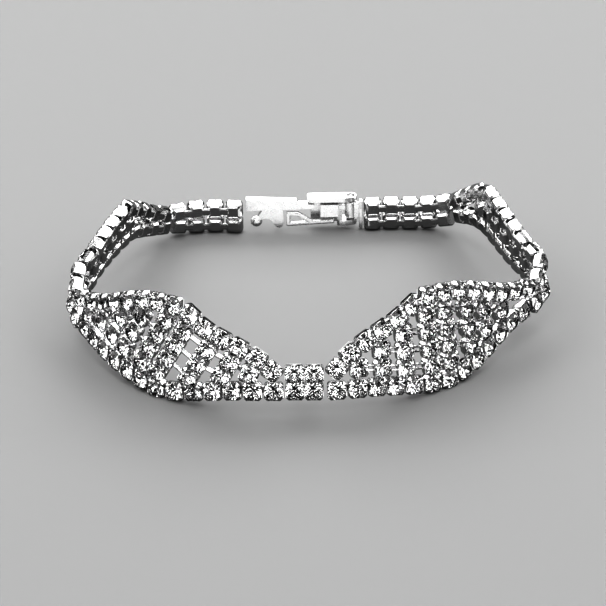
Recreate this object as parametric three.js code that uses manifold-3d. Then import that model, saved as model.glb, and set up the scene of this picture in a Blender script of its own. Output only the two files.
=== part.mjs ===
// A wide bracelet of crystal cup chain, standing on its lower edge with the loop's axis upright.
// Units are millimetres, +Z is up. The band's own frame starts at the middle of the centre block:
// a place on the band is given by how many links it lies along the band, how high it is on the band,
// and how far it stands proud of the band's middle surface.

import * as THREE from 'three';
import { mergeVertices } from 'three/addons/utils/BufferGeometryUtils.js';
import Module from 'manifold-3d';

const wasm = await Module();
wasm.setup();

// ---- driving dimensions ----

const PITCH = 2.7;            // one link of cup chain
const CUP_WIDTH = 2.4;        // a square cup, across the chain
const CUP_FRONT = 0.95;       // the top of the stone, proud of the band's middle surface
const CUP_BACK = 1.15;        // the cup's flat back, behind the middle surface
const CUP_HEEL = 1.5;         // how wide the cup's back is: its walls taper from the middle surface
const CUP_CHAMFER = 0.35;
const GAP = 0.3;              // clearance between pieces
const END_TRIM = 0.15;        // taken off each end of a stretch of chain, for the clearance there
const BAR_HEIGHT = 1.0;       // a solder bar between two columns
const BAR_DEPTH = 0.8;
const BAR_CHAMFER = 0.2;
const STEP = 0.02;            // links, the step of the plan's integration
const LAST_LINK = 33;

// The plan: the band's heading at stations along it, turned linearly between them.
const BEND = [
  // links, right and left heading in degrees from the centre block's face
  { links: 0, right: 0, left: 0 },
  { links: 1, right: -8, left: -17 },
  { links: 3, right: 23, left: 19 },
  { links: 6, right: 28, left: 24 },
  { links: 9, right: 44, left: 44 },
  { links: 12, right: 50, left: 57 },
  { links: 14, right: 45, left: 56 },
  { links: 15.5, right: 83, left: 95 },
  { links: 16.5, right: 122, left: 115 },
  { links: 17.5, right: 114, left: 106 },
  { links: 20, right: 109, left: 111 },
  { links: 22.5, right: 109, left: 117 },
  { links: 25, right: 124, left: 124 },
  { links: 27.5, right: 173, left: 168 },
  { links: 30, right: 184, left: 194 },
  { links: LAST_LINK, right: 191, left: 196 },
];

// The lean: how far the band tips in towards its top, in degrees.
const LEAN = [
  { links: 0, right: 15, left: 14 },
  { links: 9, right: 15, left: 14 },
  { links: 12, right: 7, left: 8 },
  { links: 14, right: 3, left: 2 },
  { links: 16, right: 7, left: 10 },
  { links: 18.5, right: 5, left: 12 },
  { links: 22, right: 2, left: 9 },
  { links: 26, right: 0, left: 0 },
  { links: LAST_LINK, right: 0, left: 0 },
];

// The waves of the two edge chains: the height of the chain's middle on the band, in mm.
const UPPER_EDGE = [
  { links: 0.5, right: 1.15, left: 1.2 },
  { links: 1, right: 0.4, left: 0.7 },
  { links: 2, right: 3.3, left: 3.15 },
  { links: 5.5, right: 7.6, left: 6.9 },
  { links: 6.5, right: 8.95, left: 8.65 },
  { links: 8, right: 8.5, left: 8.4 },
  { links: 14, right: 3.4, left: 3 },
  { links: 16, right: 4.85, left: 4.6 },
  { links: 18.5, right: 6, left: 5.85 },
  { links: 21.5, right: 6.85, left: 6.1 },
  { links: 23, right: 5.9, left: 4.15 },
  { links: 26.5, right: 0.4, left: -0.45 },
  { links: 28, right: -0.45, left: -0.45 },
  { links: LAST_LINK, right: -0.45, left: -0.45 },
];
const LOWER_EDGE = [
  { links: 0.5, right: -1.15, left: -1.1 },
  { links: 2, right: -0.95, left: -0.75 },
  { links: 7.5, right: -3, left: -3 },
  { links: 8.6, right: -2.6, left: -2.6 },
  { links: 12.5, right: 0.1, left: -1.35 },
  { links: 16.5, right: 1.05, left: 0.4 },
  { links: 19, right: 1.2, left: 1.4 },
  { links: 22, right: 1.5, left: 1.4 },
  { links: 24.5, right: 0.35, left: -0.75 },
  { links: 26.5, right: -2, left: -2.4 },
  { links: 28, right: -2.85, left: -2.85 },
  { links: LAST_LINK, right: -2.85, left: -2.85 },
];

// Stretches of edge chain: the places of their first and last stones, in links along the band.
const STRETCHES = [
  { name: 'front_upper_rise', edge: 'upper', right: [1.57, 5.9], left: [1.54, 5.97] },
  { name: 'front_upper_fall', edge: 'upper', right: [6.87, 13.6], left: [6.98, 13.7] },
  { name: 'front_lower_level', edge: 'lower', right: [1.55, 7.4], left: [1.5, 7.4] },
  { name: 'front_lower_rise', edge: 'lower', right: [8.35, 13.2], left: [8.35, 13.3] },
  { name: 'side_upper_crest', edge: 'upper', right: [16.5, 21.6], left: [16.6, 20.8] },
  { name: 'side_upper_fall', edge: 'upper', right: [22.5, 25.4], left: [21.8, 25.6] },
  { name: 'side_lower', edge: 'lower', right: [16.2, 25.1], left: [16.2, 25.5] },
];
const CORNER = {
  upper: { right: [14.55, 15.55], left: [14.65, 15.6] },
  lower: { right: [14.2, 15.2], left: [14.25, 15.2] },
};
const BACK = { right: [26.3, 30.3], left: [26.6, 29.7], stones: { right: 5, left: 4 } };

// Columns of infill between the edge chains: where each meets the upper and the lower edge.
const COLUMNS = {
  right: {
    front: [
      { top: 2.7, bottom: 2.65, stones: 1 },
      { top: 4.0, bottom: 3.85, stones: 2 },
      { top: 5.25, bottom: 5.1, stones: 3 },
      { top: 6.6, bottom: 6.52, stones: 4 },
      { top: 7.78, bottom: 7.62, stones: 4 },
      { top: 9.22, bottom: 9.0, stones: 3 },
      { top: 10.35, bottom: 10.15, stones: 2 },
      { top: 11.55, bottom: 11.5, stones: 1 },
    ],
    side: [17.2, 18.35, 19.5, 20.65, 21.8, 23.0].map((at) => ({ top: at, bottom: at, stones: 1 })),
    barShift: { rising: 1, falling: 0 },
  },
  left: {
    front: [
      { top: 2.4, bottom: 2.95, stones: 1 },
      { top: 3.3, bottom: 4.5, stones: 2 },
      { top: 4.5, bottom: 6.2, stones: 3 },
      { top: 5.85, bottom: 7.85, stones: 4 },
      { top: 6.95, bottom: 8.95, stones: 4 },
      { top: 8.5, bottom: 10.2, stones: 3 },
      { top: 9.8, bottom: 11.2, stones: 2 },
      { top: 11.35, bottom: 12.1, stones: 1 },
      { top: 12.8, bottom: 13.2, stones: 1 },
    ],
    side: [17.3, 18.45, 19.6, 20.75, 21.85].map((at) => ({ top: at, bottom: at, stones: 1 })),
    barShift: { rising: 0, falling: -1 },
  },
};

// The clasp, measured from the middle of the gap between the two ends of the back rows:
// x to the right, y out of the loop, z up from CLASP_RISE above the band's own zero.
const CLASP_RISE = 0.9;
const HINGE = { x: 6.9, y: 0.45, pin: 0.3, bore: 0.6, barrel: 0.88 };
const COVER = {
  left: 0.6, inner: -0.6, outer: 1.33, top: 0.35, topRim: 0.65, bottom: -4.15, bottomRim: 0.8, tabLeft: 4.9,
  plate: 0.3, nose: 0.5,
};
const CATCH = { left: 2.45, right: 5.15, inner: -0.85, outer: 0.45, top: -0.6, bottom: -2.6 };
const ARM = {
  left: -8.3, shoulder: -0.9, tongue: 1.3, top: 0.35, bottom: -1.45, inner: -0.55, outer: 0.65,
};
const END_BAR = { left: 8.1, right: 8.6, inner: -0.6, outer: 0.3, bottom: -4.7, top: -0.2 };

// ---- materials ----

const silver = new THREE.MeshStandardMaterial({ color: 0xd9dadc, roughness: 0.22, metalness: 1 });
const setCrystal = new THREE.MeshStandardMaterial({ color: 0xe8ebee, roughness: 0.12, metalness: 0.6 });
const polished = new THREE.MeshStandardMaterial({ color: 0xe4e5e7, roughness: 0.12, metalness: 1 });

// ---- curves through the tables ----

function linear(rows, column, at) {
  let i = 1;
  while (i < rows.length - 1 && rows[i].links < at) i += 1;
  const [a, b] = [rows[i - 1], rows[i]];
  const t = THREE.MathUtils.clamp((at - a.links) / (b.links - a.links), 0, 1);
  return a[column] + (b[column] - a[column]) * t;
}

// A cubic through the rows that never overshoots them.
function smoothCurve(rows, column) {
  const x = rows.map((row) => row.links);
  const y = rows.map((row) => row[column]);
  const width = x.slice(1).map((value, i) => value - x[i]);
  const rise = width.map((value, i) => (y[i + 1] - y[i]) / value);
  const slope = x.map((_, i) => {
    if (i === 0) return rise[0];
    if (i === x.length - 1) return rise[i - 1];
    if (rise[i - 1] * rise[i] <= 0) return 0;
    const a = 2 * width[i] + width[i - 1];
    const b = width[i] + 2 * width[i - 1];
    return (a + b) / (a / rise[i - 1] + b / rise[i]);
  });
  return (at) => {
    const u = THREE.MathUtils.clamp(at, x[0], x[x.length - 1]);
    let i = 0;
    while (i < x.length - 2 && x[i + 1] < u) i += 1;
    const t = (u - x[i]) / width[i];
    const keep = (1 + 2 * t) * (1 - t) ** 2 * y[i] + t ** 2 * (3 - 2 * t) * y[i + 1];
    return keep + t * (1 - t) ** 2 * width[i] * slope[i] + t ** 2 * (t - 1) * width[i] * slope[i + 1];
  };
}

// One half of the band, from the centre block to its end at the clasp.
class BandSide {
  constructor(name) {
    this.name = name;
    this.sign = name === 'right' ? 1 : -1;
    this.edge = { upper: smoothCurve(UPPER_EDGE, name), lower: smoothCurve(LOWER_EDGE, name) };
    this.plan = [[0, 0]];
    for (let i = 0; (i + 1) * STEP <= LAST_LINK + STEP; i += 1) {
      const heading = THREE.MathUtils.degToRad(linear(BEND, name, (i + 0.5) * STEP));
      const [x, y] = this.plan[i];
      this.plan.push([x + Math.cos(heading) * STEP * PITCH, y + Math.sin(heading) * STEP * PITCH]);
    }
  }

  place(links) {
    const i = Math.min(Math.floor(links / STEP), this.plan.length - 2);
    const t = links / STEP - i;
    const [a, b] = [this.plan[i], this.plan[i + 1]];
    return [a[0] + (b[0] - a[0]) * t, a[1] + (b[1] - a[1]) * t];
  }

  // Unit vectors at a station: out of the loop, and up the band.
  directions(links) {
    const heading = THREE.MathUtils.degToRad(linear(BEND, this.name, links));
    const lean = THREE.MathUtils.degToRad(linear(LEAN, this.name, links));
    const inward = new THREE.Vector3(-this.sign * Math.sin(heading), Math.cos(heading), 0);
    const up = inward.clone().multiplyScalar(Math.sin(lean)).setZ(Math.cos(lean));
    const out = inward.clone().multiplyScalar(-Math.cos(lean)).setZ(Math.sin(lean));
    return { up, out };
  }

  point(links, height, proud = 0) {
    const [x, y] = this.place(links);
    const { up, out } = this.directions(links);
    return new THREE.Vector3(this.sign * x, y, 0).addScaledVector(up, height).addScaledVector(out, proud);
  }
}

// A route on the band's middle surface, whose frames stand square to the band.
class BandRoute extends THREE.Curve {
  constructor(side, from, to, heightAt) {
    super();
    Object.assign(this, { side, from, to, heightAt });
  }

  getPoint(t, target = new THREE.Vector3()) {
    const links = this.from + (this.to - this.from) * t;
    return target.copy(this.side.point(links, this.heightAt(links, t)));
  }

  computeFrenetFrames(segments) {
    const frames = { tangents: [], normals: [], binormals: [] };
    for (let i = 0; i <= segments; i += 1) {
      const u = i / segments;
      const links = this.from + (this.to - this.from) * this.getUtoTmapping(u);
      const tangent = this.getTangentAt(u);
      const normal = this.side.directions(links).out;
      normal.addScaledVector(tangent, -normal.dot(tangent)).normalize();
      frames.tangents.push(tangent);
      frames.normals.push(normal);
      frames.binormals.push(new THREE.Vector3().crossVectors(tangent, normal));
    }
    return frames;
  }
}

// ---- solids ----

function solid(geometry) {
  const bare = geometry.clone();
  bare.deleteAttribute('normal');
  bare.deleteAttribute('uv');
  const merged = mergeVertices(bare, 1e-5);
  return new wasm.Manifold(new wasm.Mesh({
    numProp: 3,
    vertProperties: new Float32Array(merged.attributes.position.array),
    triVerts: new Uint32Array(merged.index.array),
  }));
}

function geometryOf(manifold) {
  const mesh = manifold.getMesh();
  const geometry = new THREE.BufferGeometry();
  geometry.setAttribute('position', new THREE.BufferAttribute(mesh.vertProperties, 3));
  geometry.setIndex(new THREE.BufferAttribute(mesh.triVerts, 1));
  geometry.computeVertexNormals();
  return geometry;
}

// A section with two equal halves, from the corners of its upper half, front to back.
function section(half) {
  const corners = half.concat(half.slice().reverse().map(([x, y]) => [x, -y]));
  return new THREE.Shape(corners.map(([x, y]) => new THREE.Vector2(x, y)));
}

function tube(route, steps, half) {
  return solid(new THREE.ExtrudeGeometry(section(half), { steps, extrudePath: route, bevelEnabled: false }));
}

// Runs of cups: swell makes the same run fatter, as the tool that cuts its neighbours clear of it.
function cups(route, steps, swell = 0) {
  const [front, back] = [CUP_FRONT + swell, -CUP_BACK - swell];
  const [rim, heel] = [CUP_WIDTH / 2 + swell, CUP_HEEL / 2 + swell];
  return tube(route, steps, [[front, rim - CUP_CHAMFER], [front - CUP_CHAMFER, rim], [0, rim], [back, heel]]);
}

function bar(route) {
  const [a, b] = [BAR_DEPTH / 2, BAR_HEIGHT / 2];
  return tube(route, 1, [[a, b - BAR_CHAMFER], [a - BAR_CHAMFER, b], [BAR_CHAMFER - a, b], [-a, b - BAR_CHAMFER]]);
}

// How many links along the band the end of a stretch lies past its last stone's middle.
function endReach(heightAt, links) {
  const slope = (heightAt(links + 0.1) - heightAt(links - 0.1)) / (0.2 * PITCH);
  return (CUP_WIDTH / 2 - END_TRIM) / PITCH / Math.hypot(1, slope);
}

function edgeRoute(side, edge, [first, last]) {
  const heightAt = side.edge[edge];
  const from = first - endReach(heightAt, first);
  const to = last + endReach(heightAt, last);
  return new BandRoute(side, from, to, heightAt);
}

function stepsAlong(links) {
  return Math.max(2, Math.round((links + 1) * 1.2));
}

// A stretch of edge chain. The upper edge is cut clear of the lower edge where the two come close.
function edgeChain(side, edge, [first, last]) {
  const body = cups(edgeRoute(side, edge, [first, last]), stepsAlong(last - first));
  if (edge === 'lower') return body;
  const under = new BandRoute(side, first - 1, last + 1, side.edge.lower);
  return body.subtract(cups(under, stepsAlong(last - first + 2), GAP));
}

// ---- columns ----

function columnStone(side, column, share) {
  const links = column.top + (column.bottom - column.top) * share;
  const [high, low] = [side.edge.upper(column.top), side.edge.lower(column.bottom)];
  return { links, height: high + (low - high) * share };
}

function straightRoute(side, a, b) {
  return new BandRoute(side, a.links, b.links, (_, t) => a.height + (b.height - a.height) * t);
}

function columnRun(side, column, swell = 0) {
  return cups(straightRoute(side, columnStone(side, column, 0), columnStone(side, column, 1)), 2, swell);
}

function stonesOf(side, column) {
  const shares = Array.from({ length: column.stones }, (_, i) => (i + 1) / (column.stones + 1));
  return shares.map((share) => columnStone(side, column, share));
}

// Solder bars from one column's stones to the next column's, as far as that column's cups.
function barsBetween(side, column, next, shift) {
  const [here, there] = [stonesOf(side, column), stonesOf(side, next)];
  const change = Math.sign(next.stones - column.stones);
  const offset = change > 0 ? shift.rising : change < 0 ? shift.falling : 0;
  const bars = [];
  here.forEach((stone, i) => {
    const target = there[i + offset];
    if (target) bars.push(bar(straightRoute(side, stone, target)));
  });
  return bars;
}

function columnSolids(side, columns, shift) {
  const reach = [columns[0].top - 1.5, columns[columns.length - 1].bottom + 1.5];
  const steps = stepsAlong(reach[1] - reach[0]);
  const edges = ['upper', 'lower'].map((edge) => (
    cups(new BandRoute(side, reach[0], reach[1], side.edge[edge]), steps, GAP)));
  return columns.map((column, i) => {
    let body = columnRun(side, column);
    const next = columns[i + 1];
    if (next) {
      barsBetween(side, column, next, shift).forEach((one) => { body = body.add(one); });
      body = body.subtract(columnRun(side, next, GAP));
    }
    edges.forEach((edge) => { body = body.subtract(edge); });
    return body;
  });
}

// ---- the pieces of the band ----

const part = new THREE.Group();
const band = new THREE.Group();
part.add(band);

function addPiece(group, name, geometry, material) {
  const mesh = new THREE.Mesh(geometry, material);
  mesh.name = name;
  group.add(mesh);
  return mesh;
}

// Four cups soldered into a square: the two middle links of both edge chains.
function centreBlock(sides) {
  const halves = sides.flatMap((side) => ['upper', 'lower'].map((edge) => {
    const height = side.edge[edge](0.5);
    const reach = 0.5 + (CUP_WIDTH / 2 - END_TRIM / 2) / PITCH;
    return cups(new BandRoute(side, 0, reach, () => height), 1);
  }));
  return halves.reduce((whole, half) => whole.add(half));
}

// Both rows at a narrow corner, with the solder bar that holds them together.
function corner(side) {
  const [upper, lower] = ['upper', 'lower'].map((edge) => {
    const route = edgeRoute(side, edge, CORNER[edge][side.name]);
    return { body: cups(route, 5), middle: (route.from + route.to) / 2 };
  });
  const at = (upper.middle + lower.middle) / 2;
  const ends = ['upper', 'lower'].map((edge) => ({ links: at, height: side.edge[edge](at) }));
  return upper.body.add(lower.body).add(bar(straightRoute(side, ...ends)));
}

// The two level rows at the back, held together like a ladder by a solder bar at each stone.
function backRows(side) {
  const [first, last] = BACK[side.name];
  const count = BACK.stones[side.name];
  const [upper, lower] = ['upper', 'lower'].map((edge) => (
    cups(edgeRoute(side, edge, [first, last]), stepsAlong(last - first))));
  let body = upper.add(lower);
  for (let i = 0; i < count; i += 1) {
    const links = first + ((last - first) * i) / (count - 1);
    const ends = ['upper', 'lower'].map((edge) => ({ links, height: side.edge[edge](links) }));
    body = body.add(bar(straightRoute(side, ...ends)));
  }
  return body;
}

const sides = ['right', 'left'].map((name) => new BandSide(name));
addPiece(band, 'centre_block', geometryOf(centreBlock(sides)), setCrystal);

sides.forEach((side) => {
  const add = (name, body) => addPiece(band, `${side.name}_${name}`, geometryOf(body), setCrystal);
  STRETCHES.forEach((stretch) => add(stretch.name, edgeChain(side, stretch.edge, stretch[side.name])));
  add('corner', corner(side));
  add('back_rows', backRows(side));
  const { front, side: flank, barShift } = COLUMNS[side.name];
  columnSolids(side, front, barShift).forEach((body, i) => add(`front_column_${i + 1}`, body));
  columnSolids(side, flank, barShift).forEach((body, i) => add(`side_column_${i + 1}`, body));
});

// ---- the clasp ----

const [rightEnd, leftEnd] = sides.map((side) => side.point(BACK[side.name][1], 0));
const clasp = new THREE.Group();
clasp.position.copy(rightEnd).add(leftEnd).multiplyScalar(0.5).setZ(CLASP_RISE);
clasp.rotation.z = Math.atan2(rightEnd.y - leftEnd.y, rightEnd.x - leftEnd.x);
part.add(clasp);

// A box given by its two opposite corners.
function block(x0, x1, y0, y1, z0, z1) {
  const geometry = new THREE.BoxGeometry(x1 - x0, y1 - y0, z1 - z0);
  return solid(geometry.translate((x0 + x1) / 2, (y0 + y1) / 2, (z0 + z1) / 2));
}

function upright(radius, x, y, z0, z1) {
  const geometry = new THREE.CylinderGeometry(radius, radius, z1 - z0, 20).rotateX(Math.PI / 2);
  return solid(geometry.translate(x, y, (z0 + z1) / 2));
}

// A flat shape drawn in x and z, made as thick as y0 to y1.
function standing(shape, y0, y1) {
  const geometry = new THREE.ExtrudeGeometry(shape, { depth: y1 - y0, bevelEnabled: false, curveSegments: 5 });
  return solid(geometry.rotateX(Math.PI / 2).translate(0, y1, 0));
}

// The outline of the cover's rims from above: flat outside, a nose at the left, round at the hinge.
function rimPlan(left, nose) {
  const plan = new THREE.Shape();
  plan.moveTo(HINGE.x, HINGE.y - HINGE.barrel);
  plan.absarc(HINGE.x, HINGE.y, HINGE.barrel, -Math.PI / 2, Math.PI / 2, false);
  plan.lineTo(left + nose, COVER.outer);
  plan.absarc(left + nose, COVER.outer - nose, nose, Math.PI / 2, Math.PI, false);
  plan.absarc(left + nose, COVER.inner + nose, nose, Math.PI, 1.5 * Math.PI, false);
  plan.lineTo(HINGE.x - HINGE.barrel, COVER.inner);
  return plan;
}

// The hinged cover: a long rim above, a short one below, and the plate outside that joins them.
function coverSolid() {
  const rim = (left, bottom, depth) => {
    const geometry = new THREE.ExtrudeGeometry(rimPlan(left, COVER.nose), {
      depth, bevelEnabled: false, curveSegments: 6,
    });
    return solid(geometry.translate(0, 0, bottom));
  };
  const plate = block(COVER.left + COVER.nose, HINGE.x - HINGE.barrel - GAP, COVER.outer - COVER.plate,
    COVER.outer, COVER.bottom, COVER.top);
  const bore = upright(HINGE.bore, HINGE.x, HINGE.y, COVER.bottom - 1, COVER.top + 1);
  return rim(COVER.left, COVER.top - COVER.topRim, COVER.topRim)
    .add(rim(COVER.tabLeft, COVER.bottom, COVER.bottomRim)).add(plate).subtract(bore);
}

// The fixed half: a bar across both rows, the hinge barrel, and a strip that carries the catch.
function bodySolid() {
  const low = COVER.bottom + COVER.bottomRim + GAP;
  const high = COVER.top - COVER.topRim - GAP;
  const endBar = block(END_BAR.left, END_BAR.right, END_BAR.inner, END_BAR.outer, END_BAR.bottom, END_BAR.top);
  const barrel = upright(HINGE.barrel, HINGE.x, HINGE.y, low, high);
  const neck = block(HINGE.x, END_BAR.left + 0.1, -0.3, 0.3, low, high);
  const strip = block(CATCH.right - 0.4, HINGE.x, 0.05, CATCH.outer, -1.9, -1.1);
  const catchBlock = block(CATCH.left, CATCH.right, CATCH.inner, CATCH.outer, CATCH.bottom, CATCH.top);
  const bore = upright(HINGE.bore, HINGE.x, HINGE.y, low - 1, high + 1);
  return endBar.add(barrel).add(neck).add(strip).subtract(bore).add(catchBlock);
}

// The left half: a tapered arm with a tongue under the cover, and the knobbed hook below it.
function armSolid() {
  const arm = new THREE.Shape();
  arm.moveTo(ARM.left, ARM.bottom);
  arm.lineTo(ARM.shoulder, ARM.bottom + 0.1);
  arm.lineTo(ARM.tongue, -1.3);
  arm.absarc(ARM.tongue, -0.95, 0.35, -Math.PI / 2, Math.PI / 2, false);
  arm.lineTo(ARM.shoulder + 0.2, -0.5);
  arm.lineTo(ARM.shoulder, -0.05);
  arm.lineTo(ARM.left, ARM.top);
  const hook = new THREE.Shape();
  hook.moveTo(-5.9, ARM.bottom + 0.1);
  hook.lineTo(-6.5, -2.3);
  hook.lineTo(-6.7, -3.2);
  hook.lineTo(-6.0, -2.9);
  hook.quadraticCurveTo(-5.5, -2.7, -4.9, -2.95);
  hook.quadraticCurveTo(-4.4, -3.3, -4.2, -3.95);
  hook.quadraticCurveTo(-3.9, -4.3, -3.45, -4.3);
  hook.quadraticCurveTo(-2.9, -4.2, -2.85, -3.6);
  hook.lineTo(-2.95, ARM.bottom + 0.1);
  const knob = new THREE.SphereGeometry(0.85, 12, 8).scale(1, 0.8, 1).translate(-6.85, 0.05, -3.4);
  return standing(arm, ARM.inner, ARM.outer).add(standing(hook, -0.45, ARM.outer - 0.1)).add(solid(knob));
}

// The loop between the two halves: a flat bar under the catch, with a three-cornered eye by the hook.
function loopShape() {
  const outline = new THREE.Shape();
  outline.moveTo(-2.5, -4.0);
  outline.lineTo(4.5, -3.65);
  outline.lineTo(4.5, -3.0);
  outline.lineTo(1.3, -3.1);
  outline.lineTo(-0.7, -1.75);
  outline.lineTo(-2.5, -1.75);
  const eye = new THREE.Path();
  eye.moveTo(-1.9, -3.4);
  eye.lineTo(-1.9, -2.35);
  eye.lineTo(-0.9, -2.35);
  eye.lineTo(0.4, -3.3);
  outline.holes.push(eye);
  return outline;
}

addPiece(clasp, 'clasp_cover', geometryOf(coverSolid()), polished);
addPiece(clasp, 'clasp_body', geometryOf(bodySolid()), silver);
addPiece(clasp, 'end_arm', geometryOf(armSolid()), polished);
addPiece(clasp, 'catch_loop', geometryOf(standing(loopShape(), -0.75, -0.15)), silver);
addPiece(clasp, 'clasp_pin', geometryOf(upright(HINGE.pin, HINGE.x, HINGE.y, COVER.bottom, COVER.top)), silver);

// ---- the part's frame: its origin is the middle of its underside ----

part.updateMatrixWorld(true);
const box = new THREE.Box3().setFromObject(part, true);
part.position.set(-(box.min.x + box.max.x) / 2, -(box.min.y + box.max.y) / 2, -box.min.z);

export default part;
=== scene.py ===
"""The looks of a wide bracelet of crystal cup chain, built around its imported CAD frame."""

import math

import bmesh
import bpy
import numpy as np
from mathutils import Matrix, Vector


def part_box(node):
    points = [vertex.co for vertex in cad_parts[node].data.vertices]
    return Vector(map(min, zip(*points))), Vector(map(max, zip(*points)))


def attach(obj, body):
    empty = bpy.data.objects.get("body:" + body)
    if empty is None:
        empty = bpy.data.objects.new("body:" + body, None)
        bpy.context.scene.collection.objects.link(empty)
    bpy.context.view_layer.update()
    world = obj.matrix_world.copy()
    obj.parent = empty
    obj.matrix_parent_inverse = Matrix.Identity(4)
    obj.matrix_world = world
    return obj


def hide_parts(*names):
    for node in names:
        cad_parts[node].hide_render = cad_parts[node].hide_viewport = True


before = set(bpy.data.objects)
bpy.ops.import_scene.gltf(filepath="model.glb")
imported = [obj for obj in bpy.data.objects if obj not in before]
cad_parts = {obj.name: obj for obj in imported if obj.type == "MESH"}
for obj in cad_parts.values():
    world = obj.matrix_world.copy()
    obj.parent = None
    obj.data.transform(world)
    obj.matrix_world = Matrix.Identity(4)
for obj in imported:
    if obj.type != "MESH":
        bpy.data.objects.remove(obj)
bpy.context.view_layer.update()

MM = 0.001

# ---- driving sizes, in millimetres unless a comment says otherwise ----

PITCH = 2.7  # one link of cup chain
PLAN_STEP = 0.02  # links

# The plan: the band's heading, in degrees from the centre block's face, turned evenly between rows.
BEND = [
    # links, right, left
    (0, 0, 0), (1, -8, -17), (3, 23, 19), (6, 28, 24), (9, 44, 44), (12, 50, 57), (14, 45, 56),
    (15.5, 83, 95), (16.5, 122, 115), (17.5, 114, 106), (20, 109, 111), (22.5, 109, 117),
    (25, 124, 124), (27.5, 173, 168), (30, 184, 194), (33, 191, 196),
]

# The lean: how far the band tips in towards its top, in degrees.
LEAN = [
    # links, right, left
    (0, 15, 14), (9, 15, 14), (12, 7, 8), (14, 3, 2), (16, 7, 10), (18.5, 5, 12), (22, 2, 9),
    (26, 0, 0), (33, 0, 0),
]

# The waves of the two edge chains: height of the chain's middle on the band.
UPPER_EDGE = [
    # links, right, left
    (0.5, 1.15, 1.2), (1, 0.4, 0.7), (2, 3.3, 3.15), (5.5, 7.6, 6.9), (6.5, 8.95, 8.65), (8, 8.5, 8.4),
    (14, 3.4, 3), (16, 4.85, 4.6), (18.5, 6, 5.85), (21.5, 6.85, 6.1), (23, 5.9, 4.15),
    (26.5, 0.4, -0.45), (28, -0.45, -0.45), (33, -0.45, -0.45),
]
LOWER_EDGE = [
    # links, right, left
    (0.5, -1.15, -1.1), (2, -0.95, -0.75), (7.5, -3, -3), (8.6, -2.6, -2.6), (12.5, 0.1, -1.35),
    (16.5, 1.05, 0.4), (19, 1.2, 1.4), (22, 1.5, 1.4), (24.5, 0.35, -0.75), (26.5, -2, -2.4),
    (28, -2.85, -2.85), (33, -2.85, -2.85),
]

# Stretches of edge chain: the places of the first and last stones in links, and how many stones.
STRETCHES = [
    # panel, CAD node, edge, right first last count, left first last count
    ("front", "front_upper_rise", "upper", (1.57, 5.9, 6), (1.54, 5.97, 6)),
    ("front", "front_upper_fall", "upper", (6.87, 13.6, 8), (6.98, 13.7, 8)),
    ("front", "front_lower_level", "lower", (1.55, 7.4, 7), (1.5, 7.4, 7)),
    ("front", "front_lower_rise", "lower", (8.35, 13.2, 6), (8.35, 13.3, 6)),
    ("side", "side_upper_crest", "upper", (16.5, 21.6, 6), (16.6, 20.8, 5)),
    ("side", "side_upper_fall", "upper", (22.5, 25.4, 4), (21.8, 25.6, 5)),
    ("side", "side_lower", "lower", (16.2, 25.1, 10), (16.2, 25.5, 10)),
    ("corner", "corner", "upper", (14.55, 15.55, 2), (14.65, 15.6, 2)),
    ("corner", "corner", "lower", (14.2, 15.2, 2), (14.25, 15.2, 2)),
    ("back", "back_rows", "upper", (26.3, 30.3, 5), (26.6, 29.7, 4)),
    ("back", "back_rows", "lower", (26.3, 30.3, 5), (26.6, 29.7, 4)),
]

BACK_END = {"right": 30.3, "left": 29.7}  # the last stones before the clasp, in links

# Columns of infill: where each meets the upper and the lower edge, in links, and its stones.
FRONT_COLUMNS = {
    "right": [
        (2.7, 2.65, 1), (4.0, 3.85, 2), (5.25, 5.1, 3), (6.6, 6.52, 4), (7.78, 7.62, 4), (9.22, 9.0, 3),
        (10.35, 10.15, 2), (11.55, 11.5, 1),
    ],
    "left": [
        (2.4, 2.95, 1), (3.3, 4.5, 2), (4.5, 6.2, 3), (5.85, 7.85, 4), (6.95, 8.95, 4), (8.5, 10.2, 3),
        (9.8, 11.2, 2), (11.35, 12.1, 1), (12.8, 13.2, 1),
    ],
}
SIDE_COLUMNS = {
    "right": [(at, at, 1) for at in (17.2, 18.35, 19.5, 20.65, 21.8, 23.0)],
    "left": [(at, at, 1) for at in (17.3, 18.45, 19.6, 20.75, 21.85)],
}
# Which row of the next column a row's solder bar runs to, as the columns grow and as they shrink.
BAR_SHIFT = {"right": (1, 0), "left": (0, -1)}

# The clasp's hinge pin, from the middle of the gap between the ends of the back rows.
PIN_MIDDLE = (6.9, 0.45, -1.0)


# ---- the band's shape ----


def linear(rows, column, at):
    return float(np.interp(at, [row[0] for row in rows], [row[column] for row in rows]))


def smooth_curve(rows, column):
    """A cubic through the rows that never overshoots them."""
    x = [row[0] for row in rows]
    y = [row[column] for row in rows]
    width = np.diff(x)
    rise = np.diff(y) / width
    slope = [rise[0]]
    for i in range(1, len(x) - 1):
        if rise[i - 1] * rise[i] <= 0:
            slope.append(0.0)
            continue
        a, b = 2 * width[i] + width[i - 1], width[i] + 2 * width[i - 1]
        slope.append((a + b) / (a / rise[i - 1] + b / rise[i]))
    slope.append(rise[-1])

    def height(at):
        at = min(max(at, x[0]), x[-1])
        i = int(min(max(np.searchsorted(x, at) - 1, 0), len(x) - 2))
        t = (at - x[i]) / width[i]
        level = (1 + 2 * t) * (1 - t) ** 2 * y[i] + t * t * (3 - 2 * t) * y[i + 1]
        return level + width[i] * (t * (1 - t) ** 2 * slope[i] + t * t * (t - 1) * slope[i + 1])

    return height


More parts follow.
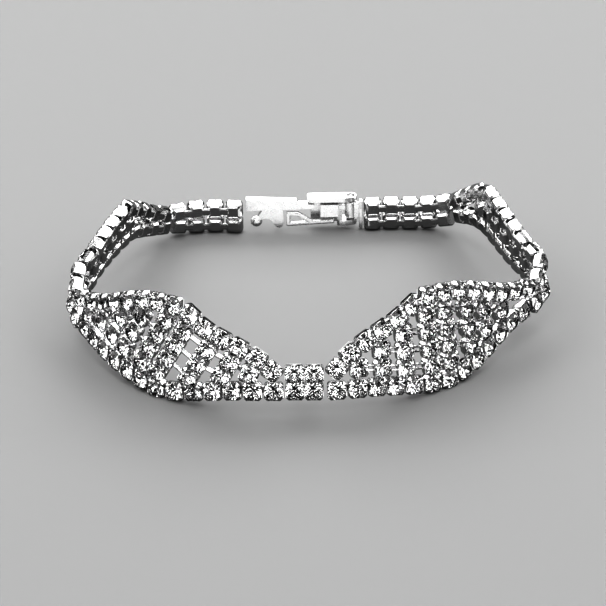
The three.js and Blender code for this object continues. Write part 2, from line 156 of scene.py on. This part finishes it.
class BandSide:
    """One half of the band, from the centre block to its end at the clasp."""

    def __init__(self, name):
        self.name = name
        self.column = 1 if name == "right" else 2
        self.sign = 1 if name == "right" else -1
        self.edge = {
            "upper": smooth_curve(UPPER_EDGE, self.column),
            "lower": smooth_curve(LOWER_EDGE, self.column),
        }
        steps = int(round(BEND[-1][0] / PLAN_STEP)) + 1
        heading = np.radians([linear(BEND, self.column, (i + 0.5) * PLAN_STEP) for i in range(steps)])
        start = np.zeros((1, 2))
        moves = np.stack([np.cos(heading), np.sin(heading)], axis=1) * PLAN_STEP * PITCH
        self.plan = np.concatenate([start, np.cumsum(moves, axis=0)])

    def place(self, links):
        stations = np.arange(len(self.plan)) * PLAN_STEP
        return [float(np.interp(links, stations, self.plan[:, k])) for k in (0, 1)]

    def directions(self, links):
        """Unit vectors at a station: up the band, and out of the loop."""
        heading = math.radians(linear(BEND, self.column, links))
        lean = math.radians(linear(LEAN, self.column, links))
        inward = Vector((-self.sign * math.sin(heading), math.cos(heading), 0))
        up = inward * math.sin(lean) + Vector((0, 0, math.cos(lean)))
        out = inward * -math.cos(lean) + Vector((0, 0, math.sin(lean)))
        return up, out

    def point(self, links, height, proud=0.0):
        x, y = self.place(links)
        up, out = self.directions(links)
        return Vector((self.sign * x, y, 0)) + up * height + out * proud


SIDES = [BandSide("right"), BandSide("left")]


def band_origin():
    """Where the band's own zero lies in the frame, found from the hinge pin, in metres."""
    ends = [side.point(BACK_END[side.name], 0) for side in SIDES]
    middle = (ends[0] + ends[1]) / 2
    turn = math.atan2(ends[0].y - ends[1].y, ends[0].x - ends[1].x)
    pin = middle + Matrix.Rotation(turn, 3, "Z") @ Vector(PIN_MIDDLE)
    low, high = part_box("clasp_pin")
    return (low + high) / 2 - pin * MM


ORIGIN = band_origin()


def in_frame(point):
    """A point of the band, in millimetres, as a point of the frame, in metres."""
    return ORIGIN + point * MM


# ---- camera, floor and light ----


def make_camera():
    elevation, azimuth, roll = math.radians(29.75), math.radians(0.13), math.radians(-0.69)
    distance = 357.3
    aim = Vector((-0.09, 20.0, 0.28))
    away = Vector((
        math.sin(azimuth) * math.cos(elevation),
        -math.cos(azimuth) * math.cos(elevation),
        math.sin(elevation),
    ))
    right = Vector((math.cos(azimuth), math.sin(azimuth), 0))
    up = away.cross(right)
    turned_right = right * math.cos(roll) + up * math.sin(roll)
    turned_up = up * math.cos(roll) - right * math.sin(roll)
    data = bpy.data.cameras.new("camera")
    data.lens = 156.5
    data.sensor_width = 36.0
    data.clip_start = 0.01
    camera = bpy.data.objects.new("camera", data)
    turn = Matrix((turned_right, turned_up, away)).transposed()
    camera.matrix_world = Matrix.Translation(in_frame(aim + away * distance)) @ turn.to_4x4()
    bpy.context.scene.collection.objects.link(camera)
    bpy.context.scene.camera = camera


# Softboxes behind and above the bracelet, aimed at its middle.
SOFTBOXES = [
    # azimuth, elevation in degrees, distance, width, height in metres, radiance
    (180, 36, 0.6, 0.8, 0.4, 2.2),
    (-133, 46, 0.6, 0.27, 0.4, 2.0),
    (133, 46, 0.6, 0.27, 0.4, 2.0),
    (0, 90, 0.6, 0.4, 0.46, 1.6),
    (0, 65, 0.6, 0.4, 0.1, 2.0),
]
# Rows of upright strips around its front and sides, with dark gaps between them, so that plating
# and stones mirror both light and dark.
STRIP_ROWS = [
    # elevation, height in metres, azimuth of the last strip on either side
    (48, 0.18, 99),
    (27, 0.14, 126),
    (9, 0.08, 135),
]
STRIP_SPACING = 18  # degrees
STRIP_DISTANCE = 0.55
STRIP_WIDTH = 0.055  # in front
SIDE_STRIP_WIDTH = 0.12  # where the azimuth is 90
STRIP_RADIANCE = 1.9

EXPOSURE = 0.45
CONTRAST = 0.66  # below 1, darks are deeper
SURROUND = 0.01  # the room, as the metal and the stones mirror it
BACKDROP = 0.6  # the room, as the camera sees it
FLOOR_TONE = 0.31
PAINTED_DARK_FLOOR_IN_METAL = 0.03  # the floor as polished metal mirrors it, painted near black: a painted dark reflection
PAINTED_DARK_FLOOR_IN_STONES = 0.02  # and as the stones throw it back, likewise painted near black: a painted dark reflection
PAINTED_REFLECTION_TONE = 0.66  # a pale patch painted on the floor before the clasp, seen only where the metal mirrors it: a painted reflection that lightens the clasp
PAINTED_REFLECTION_MIDDLE = (0, 0.011)
PAINTED_REFLECTION_SIZE = (0.0186, 0.022)


def add_softbox(azimuth, elevation, distance, width, height, radiance):
    data = bpy.data.lights.new(f"softbox_{azimuth}_{elevation}", "AREA")
    data.shape = "RECTANGLE"
    data.size, data.size_y = width, height
    data.energy = radiance * math.pi * width * height
    light = bpy.data.objects.new(data.name, data)
    turn, rise = math.radians(azimuth), math.radians(elevation)
    away = Vector((math.sin(turn) * math.cos(rise), -math.cos(turn) * math.cos(rise), math.sin(rise)))
    light.location = away * distance
    light.rotation_euler = away.to_track_quat("Z", "Y").to_euler()
    bpy.context.scene.collection.objects.link(light)


def either_grey(tree, test, plain, other):
    """A grey that is plain where the test is 0, and other where it is 1: each a number or a socket."""
    mix = tree.nodes.new("ShaderNodeMix")
    mix.data_type = "RGBA"
    tree.links.new(test, mix.inputs["Factor"])
    for label, grey in (("A", plain), ("B", other)):
        if isinstance(grey, bpy.types.NodeSocket):
            tree.links.new(grey, mix.inputs[label])
        else:
            mix.inputs[label].default_value = (grey, grey, grey, 1)
    return mix.outputs["Result"]


def make_studio():
    scene = bpy.context.scene
    scene.view_settings.view_transform = "Standard"
    scene.view_settings.exposure = EXPOSURE
    scene.view_settings.gamma = CONTRAST
    world = bpy.data.worlds.new("studio")
    world.use_nodes = True
    tree = world.node_tree
    path = tree.nodes.new("ShaderNodeLightPath")
    room = either_grey(tree, path.outputs["Is Camera Ray"], SURROUND, BACKDROP)
    tree.links.new(room, tree.nodes["Background"].inputs["Color"])
    scene.world = world
    for softbox in SOFTBOXES:
        add_softbox(*softbox)
    for elevation, height, last in STRIP_ROWS:
        for azimuth in range(-last, last + 1, STRIP_SPACING):
            width = STRIP_WIDTH + (SIDE_STRIP_WIDTH - STRIP_WIDTH) * abs(azimuth) / 90
            add_softbox(azimuth, elevation, STRIP_DISTANCE, width, height, STRIP_RADIANCE)


def on_painted_reflection(tree):
    """1 where the floor's own coordinates lie inside the patch of painted reflection, else 0."""
    place = tree.nodes.new("ShaderNodeTexCoord")
    split = tree.nodes.new("ShaderNodeSeparateXYZ")
    tree.links.new(place.outputs["Object"], split.inputs["Vector"])
    inside = tree.nodes.new("ShaderNodeMath")
    inside.operation = "MULTIPLY"
    for i, (axis, middle, size) in enumerate(zip("XY", PAINTED_REFLECTION_MIDDLE, PAINTED_REFLECTION_SIZE)):
        near = tree.nodes.new("ShaderNodeMath")
        near.operation = "COMPARE"
        near.inputs[1].default_value = middle
        near.inputs[2].default_value = size / 2
        tree.links.new(split.outputs[axis], near.inputs[0])
        tree.links.new(near.outputs["Value"], inside.inputs[i])
    return inside.outputs["Value"]


def lay_floor():
    mesh = bpy.data.meshes.new("floor")
    reach = 3.0
    mesh.from_pydata(
        [(-reach, -reach, 0), (reach, -reach, 0), (reach, reach, 0), (-reach, reach, 0)], [], [(0, 1, 2, 3)]
    )
    floor = bpy.data.objects.new("floor", mesh)
    bpy.context.scene.collection.objects.link(floor)
    material = bpy.data.materials.new("floor_card")
    material.use_nodes = True
    tree = material.node_tree
    shader = tree.nodes["Principled BSDF"]
    shader.inputs["Roughness"].default_value = 0.6
    path = tree.nodes.new("ShaderNodeLightPath")
    # Painted reflections: glossy rays see the floor near black, with a pale painted patch before the clasp,
    # and transmission rays see it near black, while the camera sees it evenly pale.
    painted_reflection_in_metal = either_grey(tree, on_painted_reflection(tree), PAINTED_DARK_FLOOR_IN_METAL, PAINTED_REFLECTION_TONE)
    tone = either_grey(tree, path.outputs["Is Glossy Ray"], FLOOR_TONE, painted_reflection_in_metal)
    tone = either_grey(tree, path.outputs["Is Transmission Ray"], tone, PAINTED_DARK_FLOOR_IN_STONES)
    tree.links.new(tone, shader.inputs["Base Color"])
    mesh.materials.append(material)


make_camera()
make_studio()
lay_floor()


# ---- materials ----


def new_group(name, inputs, outputs):
    tree = bpy.data.node_groups.new(name, "ShaderNodeTree")
    for label, kind, value in inputs:
        socket = tree.interface.new_socket(label, in_out="INPUT", socket_type=kind)
        socket.default_value = value
    for label, kind in outputs:
        tree.interface.new_socket(label, in_out="OUTPUT", socket_type=kind)
    return tree, tree.nodes.new("NodeGroupInput"), tree.nodes.new("NodeGroupOutput")


def handled_metal_group():
    """Small differences of polish and fine scratches over plated metal."""
    tree, given, result = new_group(
        "handled metal",
        [
            ("Patch Size", "NodeSocketFloat", 900.0),
            ("Scratch Size", "NodeSocketFloat", 9000.0),
            ("Smooth", "NodeSocketFloat", 0.08),
            ("Dull", "NodeSocketFloat", 0.25),
        ],
        [("Roughness", "NodeSocketFloat"), ("Scratch Height", "NodeSocketFloat")],
    )
    nodes, links = tree.nodes, tree.links
    place = nodes.new("ShaderNodeTexCoord")
    patches = nodes.new("ShaderNodeTexNoise")
    patches.inputs["Detail"].default_value = 3.0
    links.new(place.outputs["Object"], patches.inputs["Vector"])
    links.new(given.outputs["Patch Size"], patches.inputs["Scale"])
    spread = nodes.new("ShaderNodeMapRange")
    spread.inputs["From Min"].default_value = 0.35
    spread.inputs["From Max"].default_value = 0.7
    links.new(patches.outputs["Fac"], spread.inputs["Value"])
    links.new(given.outputs["Smooth"], spread.inputs["To Min"])
    links.new(given.outputs["Dull"], spread.inputs["To Max"])
    links.new(spread.outputs["Result"], result.inputs["Roughness"])
    stretch = nodes.new("ShaderNodeMapping")
    stretch.inputs["Scale"].default_value = (0.12, 1.0, 1.0)
    links.new(place.outputs["Object"], stretch.inputs["Vector"])
    scratches = nodes.new("ShaderNodeTexNoise")
    scratches.inputs["Detail"].default_value = 1.0
    links.new(stretch.outputs["Vector"], scratches.inputs["Vector"])
    links.new(given.outputs["Scratch Size"], scratches.inputs["Scale"])
    links.new(scratches.outputs["Fac"], result.inputs["Scratch Height"])
    return tree


HANDLED = handled_metal_group()


def plated_material(name, color, metallic, smooth, dull, scratch_depth):
    material = bpy.data.materials.new(name)
    material.use_nodes = True
    nodes, links = material.node_tree.nodes, material.node_tree.links
    shader = nodes["Principled BSDF"]
    shader.inputs["Base Color"].default_value = (*color, 1)
    shader.inputs["Metallic"].default_value = metallic
    handled = nodes.new("ShaderNodeGroup")
    handled.node_tree = HANDLED
    handled.inputs["Smooth"].default_value = smooth
    handled.inputs["Dull"].default_value = dull
    links.new(handled.outputs["Roughness"], shader.inputs["Roughness"])
    bump = nodes.new("ShaderNodeBump")
    bump.inputs["Strength"].default_value = scratch_depth
    bump.inputs["Distance"].default_value = 0.02 * MM
    links.new(handled.outputs["Scratch Height"], bump.inputs["Height"])
    links.new(bump.outputs["Normal"], shader.inputs["Normal"])
    return material


def crystal_material():
    material = bpy.data.materials.new("crystal")
    material.use_nodes = True
    shader = material.node_tree.nodes["Principled BSDF"]
    shader.inputs["Base Color"].default_value = (1, 1, 1, 1)
    shader.inputs["Roughness"].default_value = 0.0
    shader.inputs["IOR"].default_value = 1.6
    shader.inputs["Transmission Weight"].default_value = 1.0
    return material


def foil_material():
    """The silvering on the back of a stone."""
    material = bpy.data.materials.new("silvering")
    material.use_nodes = True
    shader = material.node_tree.nodes["Principled BSDF"]
    shader.inputs["Base Color"].default_value = (0.95, 0.95, 0.95, 1)
    shader.inputs["Metallic"].default_value = 1.0
    shader.inputs["Roughness"].default_value = 0.02
    return material


CUP_METAL = plated_material("cup_plating", (0.9, 0.9, 0.9), 1.0, 0.06, 0.2, 0.2)
CLASP_METAL = plated_material("clasp_plating", (0.95, 0.95, 0.95), 0.9, 0.2, 0.32, 0.12)
CRYSTAL = crystal_material()
FOIL = foil_material()


# ---- the shapes that repeat ----


def object_from(name, build):
    mesh = bpy.data.meshes.new(name)
    bm = bmesh.new()
    build(bm)
    bmesh.ops.recalc_face_normals(bm, faces=bm.faces)
    bm.to_mesh(mesh)
    bm.free()
    obj = bpy.data.objects.new(name, mesh)
    bpy.context.scene.collection.objects.link(obj)
    return obj


def bridge(bm, lower, upper):
    count = len(lower)
    for i in range(count):
        j = (i + 1) % count
        bm.faces.new((lower[i], lower[j], upper[j], upper[i]))


# The cup's cross-sections: from its flat back up the outside, over the rim and down to its inner floor.
CUP_SECTIONS = [
    # half width, corner cut, height at the corners, height at the middle of each side
    (0.66, 0.16, -1.12, -1.12),
    (0.94, 0.18, -0.88, -0.88),
    (1.12, 0.22, -0.45, -0.45),
    (1.18, 0.26, 0, 0),
    (1.2, 0.4, 0.44, 0.24),
    (1.13, 0.38, 0.44, 0.24),
    (0.45, 0.13, -0.66, -0.66),
]
RIM, LIP = 4, 5  # the sections between which the prongs stand
PRONG_TIP = [
    # out from the cup's middle, across, height
    (1.22, -0.1, 0.58), (1.22, 0.1, 0.58), (1.06, 0.1, 0.68), (1.06, -0.1, 0.68),
]

STONE_RADIUS = 1.2
GIRDLE_Z = 0.42
TABLE = 0.55  # share of the stone's radius, as are the next two
SHOULDER = 0.8
BELLY = 0.32
CROWN_SLOPE = math.tan(math.radians(36))
PAVILION_SLOPE = math.tan(math.radians(41.5))

BAR_EDGE = 0.22  # share of a bar's width and depth that is cut off each edge


def cup_outline(half, chamfer):
    """A square with cut corners, each side with a point in its middle, anticlockwise."""
    points = []
    for quarter in range(4):
        turn = Matrix.Rotation(quarter * math.pi / 2, 2)
        for x, y in ((half, chamfer - half), (half, 0), (half, half - chamfer)):
            points.append(turn @ Vector((x, y)))
    return points


def build_cup(bm):
    """A stamped square cup: walls that spread from a small flat back, scalloped rims, four prongs."""
    sections = []
    for half, chamfer, corner_z, side_z in CUP_SECTIONS:
        heights = [side_z if i % 3 == 1 else corner_z for i in range(12)]
        outline = cup_outline(half, chamfer)
        sections.append([bm.verts.new(Vector((*p, z)) * MM) for p, z in zip(outline, heights)])
    for lower, upper in zip(sections, sections[1:]):
        bridge(bm, lower, upper)
    bm.faces.new(sections[0])
    bm.faces.new(sections[-1])
    rim, lip = sections[RIM], sections[LIP]
    corners = [(rim[i], rim[(i + 1) % 12], lip[(i + 1) % 12], lip[i]) for i in (2, 5, 8, 11)]
    for quarter, corner in enumerate(corners):
        bm.faces.remove(bm.faces.get(corner))
        out = Matrix.Rotation(math.pi / 4 + quarter * math.pi / 2, 3, "Z") @ Vector((1, 0, 0))
        across = Vector((-out.y, out.x, 0))
        tip = [
            bm.verts.new((out * reach + across * aside + Vector((0, 0, height))) * MM)
            for reach, aside, height in PRONG_TIP
        ]
        bridge(bm, corner, tip)
        bm.faces.new(tip)


def build_stone(bm):
    """A round brilliant: table, stars, kites and halves above the girdle, and halves down to the point."""

    def ring(count, share, height, shift):
        turns = [(i + shift) * 2 * math.pi / count for i in range(count)]
        radius = share * STONE_RADIUS * MM
        return [bm.verts.new((math.cos(t) * radius, math.sin(t) * radius, height * MM)) for t in turns]

    flat = math.cos(math.pi / 8)
    table = ring(8, TABLE, GIRDLE_Z + STONE_RADIUS * (1 - TABLE) * CROWN_SLOPE, 0)
    shoulder = ring(8, SHOULDER, GIRDLE_Z + STONE_RADIUS * (1 - SHOULDER * flat) * CROWN_SLOPE, 0.5)
    girdle = ring(16, 1, GIRDLE_Z, 0)
    belly = ring(8, BELLY, GIRDLE_Z - STONE_RADIUS * (1 - BELLY * flat) * PAVILION_SLOPE, 0.5)
    point = bm.verts.new((0, 0, (GIRDLE_Z - STONE_RADIUS * PAVILION_SLOPE) * MM))
    foil = bm.faces.layers.bool.new("foil")
    bm.faces.new(table)
    for i in range(8):
        j = (i + 1) % 8
        bm.faces.new((table[i], shoulder[i], table[j]))
        bm.faces.new((table[j], shoulder[i], girdle[2 * j], shoulder[j]))
        bm.faces.new((shoulder[i], girdle[2 * i], girdle[2 * i + 1]))
        bm.faces.new((shoulder[i], girdle[2 * i + 1], girdle[(2 * i + 2) % 16]))
        for back in (
            (belly[i], girdle[2 * i + 1], girdle[2 * i]),
            (belly[i], girdle[(2 * i + 2) % 16], girdle[2 * i + 1]),
            (belly[i], girdle[2 * j], belly[j], point),
        ):
            bm.faces.new(back)[foil] = True


def build_bar(bm):
    """A bar one unit long, wide and deep, with its long edges cut off."""
    outline = cup_outline(0.5, BAR_EDGE)
    ends = []
    for x in (-0.5, 0.5):
        ends.append([bm.verts.new((x, p.x, p.y)) for i, p in enumerate(outline) if i % 3 != 1])
    bridge(bm, *ends)
    for end in ends:
        bm.faces.new(end)


# ---- places along the band ----

# The solder strips between columns: how far each lies off the line of the cups' middles, its width.
STRUTS = {"right": ((-0.3, 0.28), (0.3, 0.28)), "left": ((0, 0.62),)}
STRUT_START = 1.08  # where a strip leaves the cup, from the cup's middle
STRUT_SUNK = 0.05
STRUT_DEPTH = 0.22
STRUT_TILT = 0.35  # how far a strip faces up, against how far it faces out
# The bars that join cups: width, depth, and how far each lies below the middle of the cups.
CHAIN_TIE = (1.0, 0.3, 0.93)
COLUMN_TIE = (0.7, 0.3, 0.93)
POST = (0.5, 0.5, 0.3)  # between the two rows at a corner and at the back
EDGE_SCALE = 1.04  # the settings of the edge chains against the cup as drawn
COLUMN_SCALE = 1.03
CENTRE_PLACE = 0.46  # links from the middle of the front to the centre block's stones
CHAIN_SAMPLES = 80  # points along a stretch of chain, to measure its length


def turn_matrix(along, out):
    """A cup's own axes: X along its chain, Z out of the loop."""
    along = along.normalized()
    out = (out - along * out.dot(along)).normalized()
    return Matrix((along, out.cross(along), out)).transposed()


def edge_settings(side, edge, first, last, count):
    """Settings at equal steps along an edge chain."""
    height = side.edge[edge]
    samples = np.linspace(first, last, CHAIN_SAMPLES)
    points = [side.point(s, height(s)) for s in samples]
    lengths = np.concatenate([[0], np.cumsum([(b - a).length for a, b in zip(points, points[1:])])])
    stations = [float(np.interp(t, lengths, samples)) for t in np.linspace(0, lengths[-1], count)]
    here = [side.point(links, height(links)) for links in stations]
    found = []
    for i, links in enumerate(stations):
        ahead = here[min(i + 1, count - 1)] - here[max(i - 1, 0)]
        found.append((here[i], turn_matrix(ahead, side.directions(links)[1]), EDGE_SCALE))
    return found


def column_settings(side, column):
    """Settings down a column, with the places where it meets the two edges before and after them."""
    top, bottom, count = column
    high, low = side.edge["upper"](top), side.edge["lower"](bottom)
    found = []
    for i in range(count + 2):
        share = i / (count + 1)
        links = top + (bottom - top) * share
        point = side.point(links, high + (low - high) * share)
        ahead = side.point(bottom, low) - side.point(top, high)
        found.append((point, turn_matrix(ahead, side.directions(links)[1]), COLUMN_SCALE))
    return found


class Panel:
    """A panel's settings, solder bars and the CAD nodes that it stands for."""

    def __init__(self, name):
        self.name = name
        self.settings = []
        self.bars = []
        self.nodes = []

    def tie(self, a, b, width, depth, sunk):
        """A bar between two settings, sunk below the middle of the cups."""
        start, end = a[0], b[0]
        out = (a[1].col[2] + b[1].col[2]).normalized()
        middle = (start + end) / 2 - out * sunk
        length = (end - start).length
        self.bars.append((middle, turn_matrix(end - start, out), (length, width, depth)))

    def strut(self, a, b, strips):
        """Solder strips across the gap between the cups of two columns, each (shift, width)."""
        start, end = a[0], b[0]
        out = (a[1].col[2] + b[1].col[2]).normalized()
        turn = turn_matrix(end - start, out + Vector((0, 0, STRUT_TILT)))
        length = (end - start).length - 2 * STRUT_START
        for shift, width in strips:
            middle = (start + end) / 2 + turn.col[1] * shift - out * STRUT_SUNK
            self.bars.append((middle, turn, (length, width, STRUT_DEPTH)))

    def chain(self, settings):
        self.settings += settings
        for a, b in zip(settings, settings[1:]):
            self.tie(a, b, *CHAIN_TIE)


def centre_panel():
    panel = Panel("centre")
    rows = []
    for edge in ("lower", "upper"):
        row = []
        for side in reversed(SIDES):
            height = side.edge[edge](0.5)
            turn = turn_matrix(Vector((1, 0, 0)), side.directions(0.5)[1])
            row.append((side.point(CENTRE_PLACE, height), turn, EDGE_SCALE))
        panel.chain(row)
        rows.append(row)
    for a, b in zip(*rows):
        panel.tie(a, b, *CHAIN_TIE)
    panel.nodes.append("centre_block")
    return panel


def add_columns(panel, side, columns, node_prefix):
    growing, shrinking = BAR_SHIFT[side.name]
    runs = [column_settings(side, column) for column in columns]
    for i, run in enumerate(runs):
        panel.settings += run[1:-1]
        panel.nodes.append(f"{node_prefix}_{i + 1}")
        for a, b in zip(run, run[1:]):
            panel.tie(a, b, *COLUMN_TIE)
        if i + 1 == len(runs):
            continue
        change = len(runs[i + 1]) - len(run)
        shift = growing if change > 0 else shrinking if change < 0 else 0
        for row, setting in enumerate(run[1:-1]):
            target = row + shift
            if 0 <= target < len(runs[i + 1]) - 2:
                panel.strut(setting, runs[i + 1][target + 1], STRUTS[side.name])


def side_panels(side):
    panels = {name: Panel(f"{side.name}_{name}") for name in ("front", "corner", "side", "back")}
    column = 3 if side.name == "right" else 4
    rows = {}
    for stretch in STRETCHES:
        panel = panels[stretch[0]]
        settings = edge_settings(side, stretch[2], *stretch[column])
        panel.chain(settings)
        rows[stretch[1], stretch[2]] = settings
        node = f"{side.name}_{stretch[1]}"
        if node not in panel.nodes:
            panel.nodes.append(node)
    for name in ("corner", "back_rows"):
        panel = panels[name.split("_")[0]]
        for a, b in zip(rows[name, "upper"], rows[name, "lower"]):
            panel.tie(a, b, *POST)
    add_columns(panels["front"], side, FRONT_COLUMNS[side.name], f"{side.name}_front_column")
    add_columns(panels["side"], side, SIDE_COLUMNS[side.name], f"{side.name}_side_column")
    return list(panels.values())


# ---- Geometry Nodes: a shape set on every place ----


def placing_tree():
    """Sets a shape on each point, by its turn and scale, spun about its own axis by a seeded amount."""
    tree = bpy.data.node_groups.new("set on places", "GeometryNodeTree")
    tree.interface.new_socket("Places", in_out="INPUT", socket_type="NodeSocketGeometry")
    for label, kind in (
        ("Shape", "Object"),
        ("Finish", "Material"),
        ("Foil Finish", "Material"),
        ("Spin", "Float"),
        ("Seed", "Int"),
    ):
        tree.interface.new_socket(label, in_out="INPUT", socket_type=f"NodeSocket{kind}")
    tree.interface.new_socket("Result", in_out="OUTPUT", socket_type="NodeSocketGeometry")
    nodes, links = tree.nodes, tree.links
    given, result = nodes.new("NodeGroupInput"), nodes.new("NodeGroupOutput")
    shape = nodes.new("GeometryNodeObjectInfo")
    shape.inputs["As Instance"].default_value = True
    links.new(given.outputs["Shape"], shape.inputs["Object"])
    turn = nodes.new("GeometryNodeInputNamedAttribute")
    turn.data_type = "QUATERNION"
    turn.inputs["Name"].default_value = "turn"
    scale = nodes.new("GeometryNodeInputNamedAttribute")
    scale.data_type = "FLOAT_VECTOR"
    scale.inputs["Name"].default_value = "scale"
    place = nodes.new("GeometryNodeInstanceOnPoints")
    links.new(given.outputs["Places"], place.inputs["Points"])
    links.new(shape.outputs["Geometry"], place.inputs["Instance"])
    links.new(turn.outputs["Attribute"], place.inputs["Rotation"])
    links.new(scale.outputs["Attribute"], place.inputs["Scale"])
    chance = nodes.new("FunctionNodeRandomValue")
    chance.data_type = "FLOAT"
    links.new(given.outputs["Spin"], chance.inputs["Max"])
    links.new(given.outputs["Seed"], chance.inputs["Seed"])
    about = nodes.new("ShaderNodeCombineXYZ")
    links.new(chance.outputs["Value"], about.inputs["Z"])
    spin = nodes.new("GeometryNodeRotateInstances")
    links.new(place.outputs["Instances"], spin.inputs["Instances"])
    links.new(about.outputs["Vector"], spin.inputs["Rotation"])
    realize = nodes.new("GeometryNodeRealizeInstances")
    links.new(spin.outputs["Instances"], realize.inputs["Geometry"])
    finish = nodes.new("GeometryNodeSetMaterial")
    links.new(realize.outputs["Geometry"], finish.inputs["Geometry"])
    links.new(given.outputs["Finish"], finish.inputs["Material"])
    foil = nodes.new("GeometryNodeInputNamedAttribute")
    foil.data_type = "BOOLEAN"
    foil.inputs["Name"].default_value = "foil"
    foiled = nodes.new("GeometryNodeSetMaterial")
    links.new(finish.outputs["Geometry"], foiled.inputs["Geometry"])
    links.new(foil.outputs["Attribute"], foiled.inputs["Selection"])
    links.new(given.outputs["Foil Finish"], foiled.inputs["Material"])
    links.new(foiled.outputs["Geometry"], result.inputs["Result"])
    return tree


PLACING = placing_tree()


def set_on_places(name, shape, places, finish, foil_finish=None, spin=0.0, seed=0):
    """One plain mesh of a shape set on places, each (point in mm, turn matrix, scale)."""
    mesh = bpy.data.meshes.new(name + "_places")
    mesh.from_pydata([in_frame(point) for point, _, _ in places], [], [])
    turns = mesh.attributes.new("turn", "QUATERNION", "POINT")
    turns.data.foreach_set("value", [v for _, turn, _ in places for v in turn.to_quaternion()])
    scales = mesh.attributes.new("scale", "FLOAT_VECTOR", "POINT")
    scales.data.foreach_set("vector", [v for _, _, scale in places for v in scale])
    piece = bpy.data.objects.new(name, mesh)
    bpy.context.scene.collection.objects.link(piece)
    modifier = piece.modifiers.new("set", "NODES")
    modifier.node_group = PLACING
    values = {"Shape": shape, "Finish": finish, "Spin": spin, "Seed": seed}
    if foil_finish:
        values["Foil Finish"] = foil_finish
    for socket in PLACING.interface.items_tree:
        if socket.in_out == "INPUT" and socket.name in values:
            modifier[socket.identifier] = values[socket.name]
    graph = bpy.context.evaluated_depsgraph_get()
    plain = bpy.data.meshes.new_from_object(piece.evaluated_get(graph))
    piece.modifiers.clear()
    piece.data = plain
    plain.name = name
    bpy.data.meshes.remove(mesh)
    return piece


def dress_panel(panel, seed, cup, stone, bar):
    places = [(point, turn, (size, size, size)) for point, turn, size in panel.settings]
    cups = set_on_places(f"{panel.name}_cups", cup, places, CUP_METAL)
    stones = set_on_places(
        f"{panel.name}_stones", stone, places, CRYSTAL, foil_finish=FOIL, spin=math.pi / 4, seed=seed
    )
    sizes = [(p, turn, [v * MM for v in size]) for p, turn, size in panel.bars]
    bars = set_on_places(f"{panel.name}_bars", bar, sizes, CUP_METAL)
    for piece, slot in ((cups, "setting"), (stones, "crystal"), (bars, "setting")):
        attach(piece, "bracelet")
    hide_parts(*panel.nodes)


def dress_band():
    cup = object_from("cup", build_cup)
    stone = object_from("stone", build_stone)
    bar = object_from("bar", build_bar)
    panels = [centre_panel()] + [panel for side in SIDES for panel in side_panels(side)]
    for seed, panel in enumerate(panels):
        dress_panel(panel, seed, cup, stone, bar)
    for shape in (cup, stone, bar):
        bpy.data.objects.remove(shape)


dress_band()


# ---- the clasp ----


CLASP_BODIES = {
    "clasp_cover": "cover",
    "clasp_body": "bracelet",
    "end_arm": "bracelet",
    "catch_loop": "bracelet",
    "clasp_pin": "bracelet",
}


def dress_clasp():
    """Each clasp solid again with its edges rounded."""
    for node, body in CLASP_BODIES.items():
        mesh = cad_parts[node].data.copy()
        bm = bmesh.new()
        bm.from_mesh(mesh)
        bmesh.ops.remove_doubles(bm, verts=bm.verts, dist=0.001 * MM)
        bmesh.ops.dissolve_limit(bm, angle_limit=math.radians(2), verts=bm.verts, edges=bm.edges)
        bm.to_mesh(mesh)
        bm.free()
        mesh.materials.clear()
        mesh.materials.append(CLASP_METAL)
        piece = bpy.data.objects.new(f"{node}_metal", mesh)
        bpy.context.scene.collection.objects.link(piece)
        bevel = piece.modifiers.new("rounded edges", "BEVEL")
        bevel.width = 0.2 * MM
        bevel.segments = 4
        bevel.limit_method = "ANGLE"
        bevel.angle_limit = math.radians(35)
        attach(piece, body)
        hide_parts(node)


dress_clasp()
